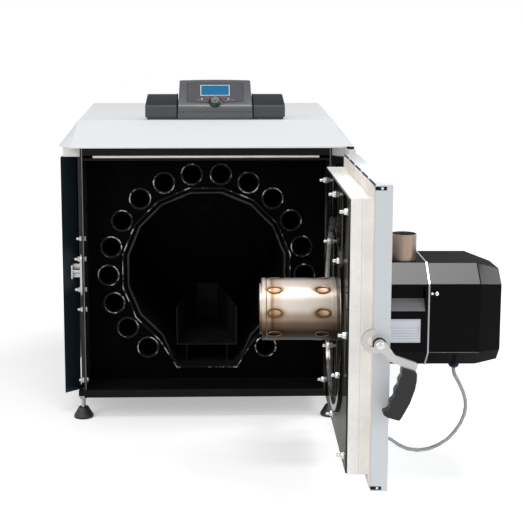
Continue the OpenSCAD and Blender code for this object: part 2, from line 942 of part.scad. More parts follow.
module latch_lever() {
    back = lever_y + lever_t;
    color("#b4b7ba") door_pose() translate([pivot_x, 0, pivot_z]) difference() {
        union() {
            slab_y(lever_y, back) hook_outline();
            slab_y(lever_y, back) polygon(arm_outline);
            bar_y(hub_r, lever_y - hub_out, back);
        }
        bar_y(pivot_r + pin_gap, lever_y - 1, back + 1);
    }
}

// Grip outline, from the bar down: a straight back and four finger hollows.
grip_outline = [
    [45.5, -46.5], [74.2, -55.5], [76.3, -58], [76.2, -72], [72.8, -92], [63, -121], [52, -142],
    [44, -156], [41, -158.5], [18, -152], [9, -146.5], [7.4, -142], [9.5, -138.5], [14.5, -137.5],
    [19, -134], [21.5, -128], [20.8, -121], [24.2, -114.5], [29, -110], [31, -103], [30.3, -97],
    [33, -90], [37.2, -85.5], [38.2, -79], [37.8, -73], [41.5, -67], [44.2, -62], [43.8, -54]
];

module lever_grip() {
    middle = lever_y + lever_t / 2;
    color("#1c1c1e") door_pose() translate([pivot_x, 0, pivot_z])
        slab_y(middle - grip_t / 2, middle + grip_t / 2) polygon(grip_outline);
}

frame_header();
frame_sill();
left_jamb();
right_jamb();
header_seal();
tube_sheet();
fire_tubes();
chamber_shell();
ash_pan();
water_jacket();
rear_tube_sheet();
smoke_box();
flue_collar();
water_sockets();
left_side_panel();
right_side_panel();
rear_panel();
base_frame();
foot_rods();
foot_pads();
top_insulation();
top_cover();
latch_keeper();
hinge_brackets();
controller_housing();
controller_wings();
controller_screen();
control_knob();
door_box();
insulation_back();
insulation_front();
heat_shield();
shield_ring();
shield_studs();
flame_tube();
flame_nozzle();
burner_housing();
burner_hood();
hood_trim();
pellet_pipe();
cable_glands();
burner_cable();
latch_pivot();
latch_lever();
lever_grip();
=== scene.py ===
import json
import math
import random

import bmesh
import bpy
from mathutils import Matrix, Vector


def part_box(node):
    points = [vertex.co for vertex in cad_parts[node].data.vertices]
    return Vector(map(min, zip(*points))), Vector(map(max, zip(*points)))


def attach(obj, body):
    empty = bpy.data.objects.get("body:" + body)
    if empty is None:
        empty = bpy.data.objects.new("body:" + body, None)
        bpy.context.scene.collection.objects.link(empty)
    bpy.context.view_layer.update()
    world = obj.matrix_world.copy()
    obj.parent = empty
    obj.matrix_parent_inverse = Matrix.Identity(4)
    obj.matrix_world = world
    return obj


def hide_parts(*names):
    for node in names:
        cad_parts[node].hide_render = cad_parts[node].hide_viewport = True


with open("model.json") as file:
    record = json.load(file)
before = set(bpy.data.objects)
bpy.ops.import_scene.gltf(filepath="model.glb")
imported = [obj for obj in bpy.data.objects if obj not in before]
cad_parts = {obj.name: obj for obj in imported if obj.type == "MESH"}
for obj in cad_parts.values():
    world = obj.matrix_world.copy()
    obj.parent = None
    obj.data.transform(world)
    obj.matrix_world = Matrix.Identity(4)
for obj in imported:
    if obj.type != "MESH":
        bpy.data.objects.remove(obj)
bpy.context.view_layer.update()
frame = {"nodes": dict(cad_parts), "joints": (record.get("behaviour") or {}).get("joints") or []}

NODES = frame["nodes"]
JOINTS = {j["name"]: j for j in frame["joints"]}

# The door's pieces are drawn square to the boiler and then turned to the door's own angle.
HINGE = Vector(JOINTS["door_hinge"]["pos_m"])
DOOR_TURN = math.radians(-1.5)
DOOR = (Matrix.Translation(HINGE) @ Matrix.Rotation(DOOR_TURN, 4, "Z")
        @ Matrix.Translation(-HINGE))
STILL = Matrix.Identity(4)
X, Y, Z = Vector((1, 0, 0)), Vector((0, 1, 0)), Vector((0, 0, 1))
MM = 0.001
SUNK = 0.3 * MM  # how far a drawn piece reaches into the surface that carries it
BURNER_Y = -0.480  # the plane of the burner's glands and cable, with the door square
BURNER_BOTTOM = 0.297
CABLE_LOW_Z = 0.118
CHAMBER_Z = 0.397  # height of the chamber's axis, and of the circle of fire tubes


def local_box(node):
    """Lowest and highest corner of a CAD node of the door, with the door square."""
    back = DOOR.inverted()
    points = [back @ v.co for v in NODES[node].data.vertices]
    low = Vector([min(p[i] for p in points) for i in range(3)])
    high = Vector([max(p[i] for p in points) for i in range(3)])
    return low, high


def round_node(node):
    """The middle of a round door node's inner end, and its radius, with the door square."""
    low, high = local_box(node)
    return Vector((low.x, (low.y + high.y) / 2, (low.z + high.z) / 2)), (high.z - low.z) / 2


def add_object(name, data):
    made = bpy.data.objects.new(name, data)
    bpy.context.scene.collection.objects.link(made)
    return made


# ---------- camera ----------

CAMERA_AT = (0.001, -2.999, 1.021)
CAMERA_PITCH = 8.23
CAMERA_YAW = 1.47
CAMERA_LENS = 77.3
CAMERA_SHIFT = (0.05, -0.10)


def make_camera():
    data = bpy.data.cameras.new("camera")
    data.lens = CAMERA_LENS
    data.sensor_width = 36
    data.shift_x, data.shift_y = CAMERA_SHIFT
    camera = add_object("camera", data)
    camera.location = CAMERA_AT
    camera.rotation_euler = (math.radians(90 - CAMERA_PITCH), 0, math.radians(-CAMERA_YAW))
    bpy.context.scene.camera = camera


make_camera()

# ---------- materials ----------

MATERIALS = {}


class Paint:
    """A node material in the object's own coordinates, kept in MATERIALS under its name."""

    def __init__(self, name, rough, metal=0.0, **sockets):
        material = bpy.data.materials.new(name)
        material.use_nodes = True
        MATERIALS[name] = material
        self.tree = material.node_tree
        self.shader = self.tree.nodes["Principled BSDF"]
        self.shader.inputs["Roughness"].default_value = rough
        self.shader.inputs["Metallic"].default_value = metal
        for key, value in sockets.items():
            self.shader.inputs[key.replace("_", " ")].default_value = value
        self.where = self.tree.nodes.new("ShaderNodeTexCoord").outputs["Object"]

    def node(self, kind, **inputs):
        made = self.tree.nodes.new("ShaderNode" + kind)
        for key, value in inputs.items():
            self.feed(made.inputs[key.replace("_", " ")], value)
        return made

    def feed(self, socket, value):
        """Links another node's output to a socket, or sets the socket's own value."""
        if isinstance(value, bpy.types.NodeSocket):
            self.tree.links.new(value, socket)
        else:
            socket.default_value = value

    def to(self, key, value):
        self.feed(self.shader.inputs[key], value)

    def noise(self, scale, detail, stretch=None, rough=0.55):
        where = self.where
        if stretch:
            where = self.node("Mapping", Vector=where, Scale=stretch).outputs["Vector"]
        return self.node("TexNoise", Vector=where, Scale=scale, Detail=detail,
                         Roughness=rough).outputs["Fac"]

    def ramp(self, value, *stops):
        """Turns a value into colours that blend between stops of (value, colour)."""
        made = self.node("ValToRGB", Fac=value)
        ramp = made.color_ramp
        ramp.interpolation = "EASE"
        while len(ramp.elements) < len(stops):
            ramp.elements.new(0.5)
        for element, (at, colour) in zip(ramp.elements, stops):
            element.position = at
            element.color = rgba(colour)
        return made.outputs["Color"]

    def range(self, value, low, high, start=0.3, end=0.7):
        """Carries start..end over to low..high."""
        return self.node("MapRange", Value=value, From_Min=start, From_Max=end,
                         To_Min=low, To_Max=high).outputs["Result"]

    def math(self, operation, a, b=0.5):
        made = self.tree.nodes.new("ShaderNodeMath")
        made.operation = operation
        for socket, value in zip(made.inputs, (a, b)):
            self.feed(socket, value)
        return made.outputs[0]

    def multiply(self, a, b):
        """The product of two colours."""
        made = self.tree.nodes.new("ShaderNodeMix")
        made.data_type = "RGBA"
        made.blend_type = "MULTIPLY"
        factor, first, second = 0, 6, 7          # where the colour mode has its sockets
        for i, value in ((factor, 1.0), (first, a), (second, b)):
            self.feed(made.inputs[i], value)
        return made.outputs[2]

    def bump(self, height, strength, distance=0.001):
        made = self.node("Bump", Height=height, Strength=strength, Distance=distance)
        if self.shader.inputs["Normal"].links:
            self.feed(made.inputs["Normal"], self.shader.inputs["Normal"].links[0].from_socket)
        self.to("Normal", made.outputs["Normal"])


def rgba(colour):
    """A colour of three values, or one value for a grey, with its alpha."""
    if isinstance(colour, (int, float)):
        colour = (colour, colour, colour)
    return (*colour[:3], 1.0)


def shade(colour, factor):
    return tuple(min(1.0, c * factor) for c in colour)


def painted(name, colour, rough, vary=0.12, mottle=9, peel=0.05, peel_scale=900, rough_vary=0.08,
            **sockets):
    """A sprayed or powder coated surface: faint cloudiness, orange peel, uneven gloss."""
    p = Paint(name, rough, **sockets)
    cloud = p.noise(mottle, 5)
    p.to("Base Color", p.ramp(cloud, (0.3, shade(colour, 1 - vary)),
                              (0.7, shade(colour, 1 + vary))))
    p.to("Roughness", p.range(p.noise(mottle * 4, 3), rough - rough_vary, rough + rough_vary))
    p.bump(p.noise(peel_scale, 2), peel)


def metal(name, colour, rough, vary=0.1, brush=(1, 1, 40), brush_scale=60, depth=0.06, **sockets):
    """Bare or plated metal with a brushed grain along one axis."""
    p = Paint(name, rough, 1.0, **sockets)
    grain = p.noise(brush_scale, 4, brush)
    cloud = p.noise(14, 4)
    both = p.math("ADD", p.math("MULTIPLY", grain, 0.5), p.math("MULTIPLY", cloud, 0.5))
    p.to("Base Color", p.ramp(both, (0.32, shade(colour, 1 - vary)),
                              (0.68, shade(colour, 1 + vary))))
    p.to("Roughness", p.range(both, rough - 0.07, rough + 0.1))
    p.bump(grain, depth)


def make_materials():
    painted("black_steel", (0.0042, 0.0042, 0.005), 0.45, 0.25, 14, 0.08, Specular_IOR_Level=0.1)
    painted("jamb", (0.012, 0.0135, 0.016), 0.4, 0.25, 14, 0.08, Specular_IOR_Level=0.3)
    painted("soot", (0.0011, 0.0011, 0.0013), 0.6, 0.4, 22, 0.35, 260, 0.12,
            Specular_IOR_Level=0.02)
    painted("chamber_soot", (0.007, 0.007, 0.0078), 0.5, 0.5, 9, 0.35, 260, 0.1,
            Specular_IOR_Level=0.06)
    weld_material()
    painted("lip_steel", (0.012, 0.012, 0.014), 0.45, 0.6, 12, 0.3, 300, Specular_IOR_Level=0.3)
    painted("tube_steel", (0.003, 0.003, 0.0035), 0.4, 0.35, 30, 0.3, 220, 0.1,
            Specular_IOR_Level=0.15)
    painted("header_steel", (0.0055, 0.0046, 0.004), 0.55, 0.2, 18, 0.1, Specular_IOR_Level=0.1)
    painted("navy", (0.0068, 0.0150, 0.0215), 0.36, 0.08, 6, 0.04, 1100, 0.015)
    painted("cover_white", (0.80, 0.82, 0.84), 0.36, 0.008, 4, 0.02, 1000, 0.015)
    painted("door_white", (0.62, 0.65, 0.68), 0.38, 0.02, 5, 0.05, 1000, 0.03)
    painted("rear_grey", (0.60, 0.63, 0.66), 0.42, 0.02, 5, 0.05, 1000, 0.02)
    shield_material()
    metal("ring", (0.74, 0.70, 0.67), 0.22, 0.3, (1, 1, 1), 26)
    metal("zinc", (0.44, 0.43, 0.42), 0.32, 0.10)
    metal("bright", (0.56, 0.56, 0.57), 0.2, 0.08)
    metal("trim", (0.30, 0.31, 0.32), 0.2, 0.04, depth=0.01)
    # Pale grey for thin painted highlight lines along edges and creases.
    painted("edge_highlight_grey", (0.13, 0.13, 0.135), 0.4, 0.2, 30, 0.05)
    # Pale grey for the painted highlight on the burner's groove slopes.
    painted("shelf_highlight_grey", (0.16, 0.16, 0.175), 0.45, 0.12, 12, 0.05)
    metal("socket_steel", (0.42, 0.43, 0.45), 0.38, 0.15)
    metal("pellet_steel", (0.30, 0.23, 0.185), 0.30, 0.16, (60, 60, 1), 6, 0.1)
    satin = dict(Specular_IOR_Level=0.0, Coat_Weight=0.085, Coat_Roughness=0.1)
    painted("shell", (0.0024, 0.0023, 0.0024), 0.6, 0.2, 10, 0.05, 900, **satin)
    painted("hood", (0.0024, 0.0025, 0.0024), 0.6, 0.15, 8, 0.05, 900, **satin)
    painted("plastic", (0.066, 0.070, 0.077), 0.36, 0.06, 12, 0.04, 1600, Specular_IOR_Level=0.35,
            Coat_Weight=0.55, Coat_Roughness=0.22)
    wing_material()
    painted("panel_grey", (0.052, 0.056, 0.064), 0.36, 0.06, 12, 0.05, 1500)
    # Black for painted shade in grooves, gaps, reliefs and slots.
    painted("shade_black", (0.003, 0.003, 0.003), 0.6, 0.3, 30, 0.1, 900, Specular_IOR_Level=0.15)
    painted("knob_black", (0.008, 0.008, 0.009), 0.28, 0.1, 12, 0.08, 1500)
    painted("knob_cap", (0.16, 0.165, 0.17), 0.34, 0.08, 20, 0.06, 1500)
    painted("print_pale", (0.70, 0.72, 0.74), 0.4, 0.04, 40, 0.02, 1500)
    painted("print_red", (0.52, 0.15, 0.11), 0.4, 0.1, 60, 0.02, 1500)
    painted("plate", (0.66, 0.67, 0.74), 0.35, 0.04, 30, 0.03, 1200)
    painted("plate_line", (0.20, 0.20, 0.23), 0.4, 0.1, 30, 0.02, 1200)
    painted("grip", (0.0055, 0.0055, 0.0066), 0.28, 0.12, 12, 0.1, 1300, Specular_IOR_Level=0.35)
    painted("rubber", (0.012, 0.012, 0.013), 0.5, 0.2, 40, 0.25, 700)
    painted("sheath", (0.32, 0.33, 0.34), 0.42, 0.1, 30, 0.1, 800)
    painted("gland_navy", (0.002, 0.005, 0.035), 0.38, 0.1, 30, 0.1, 800, Specular_IOR_Level=0.15)
    board_material("board", (0.92, 0.90, 0.87))
    board_material("board_back", (0.91, 0.88, 0.84))
    board_material("seal", (0.86, 0.80, 0.74))
    flame_material()
    metal("dimple", (0.15, 0.10, 0.065), 0.3, 0.2)
    lcd_material()


def board_material(name, colour):
    """Pressed ceramic fibre board: warm white, short fibres, small pits."""
    p = Paint(name, 0.88)
    fibre = p.noise(220, 6, (1, 1, 3), 0.7)
    stain = p.noise(11, 4)
    base = p.ramp(stain, (0.3, shade(colour, 0.93)), (0.72, shade(colour, 1.05)))
    pits = p.ramp(fibre, (0.33, 0.78), (0.47, 1.0))
    p.to("Base Color", p.multiply(base, pits))
    p.bump(fibre, 0.45, 0.002)


WING_RIDGE = 41 * MM  # height of the wings' front ridge above their foot


def wing_material():
    """Moulded plastic: grey below the front ridge, near black above it, the darker top being
    painted shade.
    """
    p = Paint("wing", 0.36, Specular_IOR_Level=0.2, Coat_Weight=0.15, Coat_Roughness=0.22)
    axes = p.node("SeparateXYZ", Vector=p.where)
    ridge = min(v.co.z for v in NODES["controller_wings"].data.vertices) + WING_RIDGE
    height = p.math("ADD", p.range(axes.outputs["Z"], 0, 1, ridge - 0.011, ridge + 0.009),
                    p.math("MULTIPLY", p.noise(14, 3), 0.04))
    # Near black above the ridge: painted shade on the sloping top.
    p.to("Base Color", p.ramp(height, (0.50, (0.058, 0.062, 0.068)), (0.56, (0.013, 0.015, 0.017))))
    p.bump(p.noise(1600, 2), 0.04)


def shield_material():
    """Sooty polished plate: black and wavy, with upright pale streaks painted in as reflections in
    the polish.
    """
    p = Paint("shield", 0.3, Specular_IOR_Level=0.0, Coat_Weight=0.3, Coat_Roughness=0.06)
    painted_streaks = p.noise(26, 3, (1, 1, 0.1), 0.6)
    # Pale upright streaks: painted reflections of the polished plate.
    p.to("Base Color", p.ramp(painted_streaks, (0.50, 0.003), (0.58, (0.04, 0.036, 0.031)),
                              (0.66, (0.13, 0.12, 0.105)), (0.74, 0.28)))
    p.bump(p.noise(9, 2, (1, 1, 0.12)), 0.5, 0.012)


def weld_material():
    """Weld metal: sooty, with pale patches that are partly bare metal and partly painted glints."""
    p = Paint("weld", 0.3, 0.35, Specular_IOR_Level=0.2)
    bare_and_glints = p.math("ADD", p.noise(34, 2), p.math("MULTIPLY", p.noise(150, 2), 0.25))
    # Pale patches: partly bare metal, partly painted glints.
    p.to("Base Color", p.ramp(bare_and_glints, (0.61, 0.002), (0.67, 0.12), (0.74, 0.55)))
    p.bump(p.noise(260, 3), 0.9, 0.002)


DIMPLES_ALONG = (29 * MM, 140 * MM)
DIMPLE_LONG = 16.6 * MM
DIMPLE_SHORT = 0.122
DIMPLE_START, DIMPLE_PITCH = math.radians(-5), math.radians(45)


def dimple_distance(p):
    """Distance to the nearest dimple of the flame tube: 0 at its middle, 1 on its rim."""
    middle = round_node("flame_tube")[0]
    back = DOOR.inverted()
    turned = p.node("Mapping", Vector=p.where, Rotation=back.to_euler(),
                    Location=back.translation - middle)
    axes = p.node("SeparateXYZ", Vector=turned.outputs["Vector"])
    angle = p.math("ARCTAN2", axes.outputs["Z"], axes.outputs["Y"])
    around = p.math("DIVIDE", p.math("PINGPONG", p.math("SUBTRACT", angle, DIMPLE_START),
                                     DIMPLE_PITCH / 2), DIMPLE_SHORT)
    nearest = None
    for along in DIMPLES_ALONG:
        ahead = p.math("DIVIDE", p.math("SUBTRACT", axes.outputs["X"], along), DIMPLE_LONG)
        far = p.math("SQRT", p.math("ADD", p.math("POWER", p.math("ABSOLUTE", ahead), 2.0),
                                    p.math("POWER", around, 2.0)))
        nearest = far if nearest is None else p.math("MINIMUM", nearest, far)
    return nearest


def flame_material():
    """Stainless tube, heat-browned behind its mouth, darker towards the bottom and bright along its
    upper front: partly heat tint, partly painted shade below and a painted highlight above.
    """
    p = Paint("flame", 0.3, 1.0)
    axes = p.node("SeparateXYZ", Vector=p.where)
    low, high = local_box("flame_tube")
    along = p.range(axes.outputs["X"], 0, 1, low.x, high.x - 0.05)
    uneven = p.math("ADD", along, p.math("MULTIPLY", p.noise(16, 5), 0.05))
    tint = p.ramp(uneven, (0.055, (1.0, 0.96, 0.91)), (0.09, (0.52, 0.36, 0.24)),
                  (0.14, (0.86, 0.77, 0.68)), (0.26, (1.0, 0.97, 0.94)), (1.0, (0.95, 0.92, 0.89)))
    height = p.math("ADD", p.range(axes.outputs["Z"], 0, 1, low.z, high.z),
                    p.math("MULTIPLY", p.noise(12, 4), 0.10))
    # Darker towards the bottom, bright higher up: brown heat tint together with painted shade below
    # and a painted highlight band above.
    heat_and_shade = p.ramp(height, (0.10, (0.010, 0.0055, 0.0025)), (0.25, (0.034, 0.020, 0.011)),
                  (0.40, (0.125, 0.088, 0.06)), (0.52, (0.29, 0.235, 0.19)),
                  (0.66, (0.70, 0.645, 0.59)), (0.90, (0.72, 0.67, 0.62)),
                  (1.0, (0.66, 0.61, 0.57)))
    halo = p.ramp(p.math("MULTIPLY", dimple_distance(p), 0.4), (0.0, (1.0, 0.82, 0.68)),
                  (0.24, (0.95, 0.72, 0.56)), (0.38, (0.40, 0.26, 0.17)),
                  (0.48, (0.58, 0.43, 0.32)), (0.66, (0.92, 0.87, 0.82)), (0.9, 1.0))
    p.to("Base Color", p.multiply(p.multiply(tint, heat_and_shade), halo))
    grain = p.noise(40, 5, (60, 1, 1))
    p.to("Roughness", p.range(grain, 0.34, 0.46))
    p.bump(grain, 0.06)


def lcd_material():
    """Blue backlit display with a fine grid of cells and no characters."""
    p = Paint("lcd", 0.12, Specular_IOR_Level=0.2)
    cells = p.node("TexBrick", Vector=p.where, Scale=160.0)
    cells.offset = 0.0
    for key, colour in (("Color1", (0.006, 0.125, 0.27)), ("Color2", (0.010, 0.155, 0.32)),
                        ("Mortar", (0.004, 0.105, 0.235))):
        cells.inputs[key].default_value = rgba(colour)
    p.to("Base Color", cells.outputs["Color"])
    p.to("Emission Color", cells.outputs["Color"])
    p.to("Emission Strength", 0.2)


make_materials()

# ---------- pieces ----------


def mm(profile):
    """A profile given in millimetres."""
    return [(a * MM, b * MM) for a, b in profile]


class Shape:
    """Collects solids in one mesh, then makes the piece that rides on a CAD body."""

    def __init__(self, place=STILL):
        self.mesh = bmesh.new()
        self.place = place

    def _put(self, points, faces):
        made = [self.mesh.verts.new(p) for p in points]
        for face in faces:
            self.mesh.faces.new([made[i] for i in face])

    def box(self, low, high):
        (x0, y0, z0), (x1, y1, z1) = low, high
        points = [(x0, y0, z0), (x1, y0, z0), (x1, y1, z0), (x0, y1, z0),
                  (x0, y0, z1), (x1, y0, z1), (x1, y1, z1), (x0, y1, z1)]
        self._put(points, [(3, 2, 1, 0), (4, 5, 6, 7), (0, 1, 5, 4),
                           (1, 2, 6, 5), (2, 3, 7, 6), (3, 0, 4, 7)])

    def lathe(self, profile, at, axis, sides=48):
        """Turns (distance along the axis, radius) round the axis; a radius of 0 closes an end."""
        axis = Vector(axis).normalized()
        side = axis.orthogonal().normalized()
        up = axis.cross(side)
        rings = []
        for along, radius in profile:
            centre = Vector(at) + axis * along
            if radius <= 0:
                rings.append([self.mesh.verts.new(centre)])
                continue
            rings.append(self._ring(centre, radius, side, up, sides))
        for a, b in zip(rings, rings[1:]):
            self._band(a, b)
        for ring, flip in ((rings[0], True), (rings[-1], False)):
            if len(ring) > 1 and profile[0] != profile[-1]:
                self.mesh.faces.new(ring[::-1] if flip else ring)

    def _ring(self, centre, radius, across, up, sides):
        angles = [math.tau * k / sides for k in range(sides)]
        return [self.mesh.verts.new(centre + radius * (math.cos(t) * across + math.sin(t) * up))
                for t in angles]

    def _band(self, a, b):
        n = max(len(a), len(b))
        for k in range(n):
            j = (k + 1) % n
            if len(a) == 1:
                self.mesh.faces.new((a[0], b[j], b[k])[::-1])
            elif len(b) == 1:
                self.mesh.faces.new((a[k], a[j], b[0]))
            else:
                self.mesh.faces.new((a[k], a[j], b[j], b[k]))

    def bead(self, points, outs, thick, sides=8, facing=None):
        """A closed bead along points, given each point's outward direction and thickness."""
        rings = []
        for point, out, radius in zip(points, outs, thick):
            rings.append(self._ring(point, radius, out, facing or -Y, sides))
        for a, b in zip(rings, rings[1:] + rings[:1]):
            self._band(a, b)

    def prism(self, outline, to_point, depth):
        """An outline of (u, v) pairs given a place by to_point(u, v, w), for w from 0 to depth."""
        n = len(outline)
        points = [to_point(u, v, w) for w in (0, depth) for u, v in outline]
        faces = [tuple(range(n))[::-1], tuple(range(n, 2 * n))]
        faces += [(k, (k + 1) % n, n + (k + 1) % n, n + k) for k in range(n)]
        self._put(points, faces)

    def make(self, name, body, material, slot, bevel=0.0, smooth=35):
        bmesh.ops.transform(self.mesh, matrix=self.place, verts=self.mesh.verts)
        bmesh.ops.recalc_face_normals(self.mesh, faces=self.mesh.faces)
        data = bpy.data.meshes.new(name)
        self.mesh.to_mesh(data)
        self.mesh.free()
        data.materials.append(MATERIALS[material])
        piece = add_object(name, data)
        finish_mesh(piece, bevel, 2, smooth)
        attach(piece, body)
        return piece


def finish_mesh(piece, bevel, segments, smooth):
    """Rounds the edges if asked to, and shades smooth except across edges sharper than smooth."""
    data = piece.data
    data.polygons.foreach_set("use_smooth", [True] * len(data.polygons))
    if bevel:
        modifier = piece.modifiers.new("rounded", "BEVEL")
        modifier.width = bevel
        modifier.segments = segments
        modifier.limit_method = "ANGLE"
        modifier.angle_limit = math.radians(smooth)
        modifier.harden_normals = True
    else:
        data.set_sharp_from_angle(angle=math.radians(smooth))


# ---------- the cable ----------

# In millimetres: the cable's radius, and its route as (x, z) with the door square
CABLE_RADIUS = 4.25
CABLE_ROUTE = [
    (584, 285), (584, 280), (585.2, 272.5), (588.6, 264), (593.6, 255), (599, 245), (604.4, 234),
    (610, 220), (613.8, 205), (615, 190), (612.5, 172), (604.5, 151), (592, 131), (575, 111.5),
    (554, 97), (530, 87.5), (505, 84), (481, 87.5), (460, 97.5), (443, 110), (427, 118), (412, 118)]


def make_cable():
    """The burner's cable, from the gland under its hood to the gland on the door."""
    route = [DOOR @ Vector((x * MM, BURNER_Y, z * MM)) for x, z in CABLE_ROUTE]
    data = bpy.data.curves.new("burner_cable_sheath", "CURVE")
    data.dimensions = "3D"
    data.bevel_depth = CABLE_RADIUS * MM
    data.bevel_resolution = 6
    data.use_fill_caps = True
    line = data.splines.new("POLY")
    line.points.add(len(route) - 1)
    for point, at in zip(line.points, route):
        point.co = (*at, 1)
    line.use_smooth = True
    data.materials.append(MATERIALS["sheath"])
    piece = add_object("burner_cable_sheath", data)
    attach(piece, "door")
    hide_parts("burner_cable")


make_cable()

# ---------- welds in the door recess ----------

TUBE_COUNT = 18
TUBE_PITCH = 16.8
TUBE_CIRCLE = 0.276
TUBE_RADIUS = 0.0285
CHAMBER_RADIUS = 0.242
CHAMBER_CORNERS = 14
CHAMBER_TURN = 22.5
TROUGH = (0.085, 0.118)  # half the trough's width, and the height of its bottom


def tube_centres(y):
    """The fire tubes' centres, in an arc that is open at the bottom."""
    for k in range(TUBE_COUNT):
        a = math.radians((k - (TUBE_COUNT - 1) / 2) * TUBE_PITCH)
        yield Vector((TUBE_CIRCLE * math.sin(a), y, CHAMBER_Z + TUBE_CIRCLE * math.cos(a)))


def tube_welds():
    """A lumpy weld bead round the mouth of each fire tube."""
    chance = random.Random(11)
    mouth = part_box("fire_tubes")[0].y
    shape = Shape()
    for centre in tube_centres(mouth + 1.2 * MM):
        steps = 46
        thick = wander(chance, steps, 1.8 * MM, 1.0 * MM)
        points, outs = [], []
        for k in range(steps):
            a = math.tau * k / steps
            outs.append(Vector((math.sin(a), 0, math.cos(a))))
            points.append(centre + outs[-1] * (TUBE_RADIUS + thick[k] * 0.4))
        shape.bead(points, outs, thick)
    shape.make("tube_welds", "boiler", "weld", "black_steel", smooth=60)


def wander(chance, count, middle, swing):
    """A closed run of sizes that swell and shrink about a middle value."""
    waves = [(chance.randint(3, 13), chance.uniform(0, math.tau)) for _ in range(4)]
    return [middle + swing * sum(math.sin(math.tau * n * k / count + p) for n, p in waves) / 4
            + chance.uniform(-0.25, 0.25) * swing for k in range(count)]


def chamber_corners(radius, y):
    """The chamber's outline: corners on a circle, and the two at the bottom of the trough."""
    corners = []
    for k in range(CHAMBER_CORNERS):
        a = math.radians(90 + CHAMBER_TURN * (k - (CHAMBER_CORNERS - 1) / 2))
        corners.append(Vector((radius * math.cos(a), y, CHAMBER_Z + radius * math.sin(a))))
    return corners + [Vector((-TROUGH[0], y, TROUGH[1])), Vector((TROUGH[0], y, TROUGH[1]))]


def chamber_weld():
    """The weld along the chamber's rim, and the rounded lip set in behind it."""
    chance = random.Random(5)
    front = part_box("chamber_shell")[0].y
    middle = Vector((0, front, CHAMBER_Z))
    step = 7 * MM
    for name, radius, behind, size, material in (
            ("chamber_weld", CHAMBER_RADIUS - 2 * MM, -0.2 * MM, 1.6 * MM, "weld"),
            ("chamber_lip", CHAMBER_RADIUS - 17 * MM, 12 * MM, 4.2 * MM, "lip_steel")):
        corners = chamber_corners(radius, front + behind)
        points = []
        for a, b in zip(corners, corners[1:] + corners[:1]):
            count = max(2, round((b - a).length / step))
            points += [a.lerp(b, k / count) for k in range(count)]
        outs = [((p - middle) * Vector((1, 0, 1))).normalized() for p in points]
        shape = Shape()
        shape.bead(points, outs, wander(chance, len(points), size, size * 0.35), sides=6)
        shape.make(name, "boiler", material, "black_steel", smooth=60)


# ---------- bolts ----------


def domed(shape, at, axis, radius, height, shank=0.0):
    """A round head with a domed top, on a surface, with a shank below the dome."""
    profile = [(-SUNK, 0), (-SUNK, radius), (shank, radius)]
    profile += [(shank + height * math.sin(t), radius * math.cos(t))
                for t in (0.3, 0.6, 0.9, 1.2, 1.4)]
    shape.lathe(profile + [(shank + height, 0)], at, axis, 24)


def hexagon(shape, at, axis, across, height):
    """A hexagon head or nut with a chamfered top."""
    radius = across / math.sqrt(3)
    shape.lathe([(-SUNK, 0), (-SUNK, radius), (height * 0.8, radius),
                 (height, radius * 0.86), (height, 0)], at, axis, 6)


def washer(shape, at, axis, radius, thick=1.4 * MM):
    shape.lathe([(-SUNK, 0), (-SUNK, radius), (thick * 0.7, radius),
                 (thick, radius - 0.4 * MM), (thick, 0)], at, axis, 28)


JAMB_INNER, JAMB_OUTER = 0.332, 0.338
JAMB_BOLT_Y = 0.025
JAMB_BOLT_Z = (0.504, 0.4475, 0.3625, 0.307, 0.107)
KEEPER_BOLT_Z = (0.4475, 0.3625)
KEEPER_PLATE = 6 * MM


def jamb_bolts():
    """Zinc bolts through each side of the frame: nut and rounded end outside, head inside."""
    shape = Shape()
    y = JAMB_BOLT_Y
    for side in (-1, 1):
        for z in JAMB_BOLT_Z:
            out = Vector((side, 0, 0))
            start = JAMB_OUTER + (KEEPER_PLATE if side < 0 and z in KEEPER_BOLT_Z else 0)
            washer(shape, (side * start, y, z), out, 8 * MM)
            hexagon(shape, (side * (start + 1.2 * MM), y, z), out, 13 * MM, 6.5 * MM)
            domed(shape, (side * (start + 7 * MM), y, z), out, 4.4 * MM, 3 * MM, 7 * MM)
            hexagon(shape, (side * JAMB_INNER, y, z), -out, 13 * MM, 4.5 * MM)
    shape.make("jamb_bolts", "boiler", "zinc", "zinc_steel", bevel=0.4 * MM)


HINGE_PIN_TOPS = (0.175, 0.758)


def hinge_pin_caps():
    """Rounded zinc ends on the two hinge pins."""
    shape = Shape()
    for top in HINGE_PIN_TOPS:
        domed(shape, (HINGE.x, HINGE.y, top - 1 * MM), Z, 9.2 * MM, 1.4 * MM)
    shape.make("hinge_pin_caps", "boiler", "zinc", "zinc_steel")


FOOT_X, FOOT_Y = 0.344, (0.030, 0.930)


def foot_threads():
    """Threads on the screw feet, and a lock washer under each nut."""
    shape = Shape()
    pitch, start, end = 1.75 * MM, 0.0292, 0.0552
    for x in (-FOOT_X, FOOT_X):
        for y in FOOT_Y:
            profile, z = [(start, 5.3 * MM)], start
            while z < end:
                profile += [(z + pitch / 2, 6.0 * MM), (z + pitch, 5.35 * MM)]
                z += pitch
            shape.lathe([(start, 0)] + profile + [(z, 0)], (x, y, 0), Z, 24)
            washer(shape, (x, y, end), -Z, 11 * MM)
    shape.make("foot_threads", "boiler", "zinc", "zinc_steel", smooth=25)


# ---------- controller ----------

PANEL_X = 0.025
PANEL_TILT = math.radians(40)
KNOB_UP = 49  # height of the knob's centre above the cover, in millimetres


def panel_place():
    """From (across, into the panel, up the slope) to the frame; the origin is the knob's centre."""
    knob = Vector(JOINTS["knob_turn"]["pos_m"])
    return Matrix.Translation(knob) @ Matrix.Rotation(-PANEL_TILT, 4, "X")


def slope(up):
    """Distance up the slope from the knob, for a height above the cover in millimetres."""
    return (up - KNOB_UP) / math.cos(PANEL_TILT) * MM


